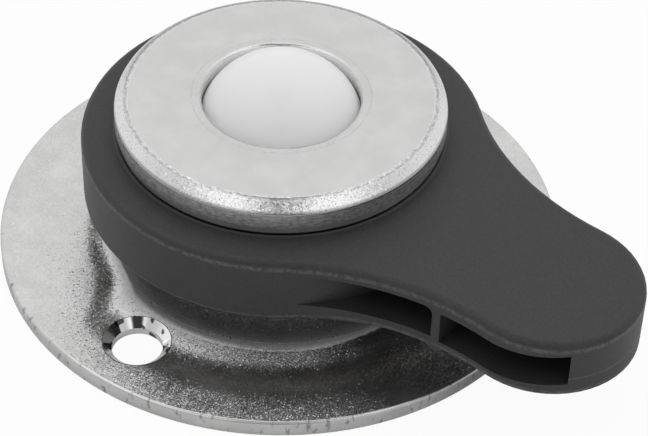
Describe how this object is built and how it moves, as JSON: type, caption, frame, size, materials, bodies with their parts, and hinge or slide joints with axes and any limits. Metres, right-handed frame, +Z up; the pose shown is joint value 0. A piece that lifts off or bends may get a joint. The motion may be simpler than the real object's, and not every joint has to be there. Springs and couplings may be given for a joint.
{
  "type": "ball transfer unit",
  "caption": "Low ball transfer unit on a round screw-down flange; a quarter turn of its side lever lifts the caged ball through a helical cam.",
  "frame": {"origin": "centre of the flange plate's underside, on the ball's vertical axis", "axes": "+Z up out of the flange through the ball, +X along the lever in its low position"},
  "size_m": [0.0988, 0.08, 0.0303],
  "materials": {
    "zinc_steel": "satin",
    "inner_steel": "satin",
    "spring_steel": "satin",
    "bearing_steel": "polished",
    "bush_bronze": "satin",
    "black_plastic": "matte",
    "liner_plastic": "matte",
    "white_plastic": "satin",
    "felt": "matte"
  },
  "bodies": {
    "base": {"flange_plate": "zinc_steel", "guide_sleeve": "inner_steel", "base_cover": "inner_steel", "wave_washer": "spring_steel", "shim_washer": "spring_steel", "retaining_ring": "spring_steel"},
    "lever": {"lever": "black_plastic", "lever_bush": "bush_bronze", "cam_ring": "inner_steel", "cam_screws": "spring_steel"},
    "ball_unit": {"cap": "zinc_steel", "carrier": "inner_steel", "cup": "zinc_steel", "raceway": "inner_steel", "support_balls": "bearing_steel", "ball_retainer": "liner_plastic", "spacer_ring": "liner_plastic", "felt_seal": "felt", "follower_pins": "bearing_steel"},
    "ball": {"ball": "white_plastic"}
  },
  "joints": [
    {"name": "lever_turn", "type": "hinge", "parent": "base", "child": "lever", "pos_m": [0, 0, 0], "axis": [0, 0, 1], "range_deg": [0, 90]},
    {"name": "ball_lift", "type": "slide", "parent": "base", "child": "ball_unit", "axis": [0, 0, 1], "range_m": [0, 0.003]},
    {"name": "ball_roll", "type": "hinge", "parent": "ball_unit", "child": "ball", "pos_m": [0, 0, 0.0184], "axis": [1, 0, 0], "continuous": true}
  ],
  "couplings": [
    {"joint": "lever_turn", "follows": "ball_lift", "rad_per_m": 523.59}
  ]
}
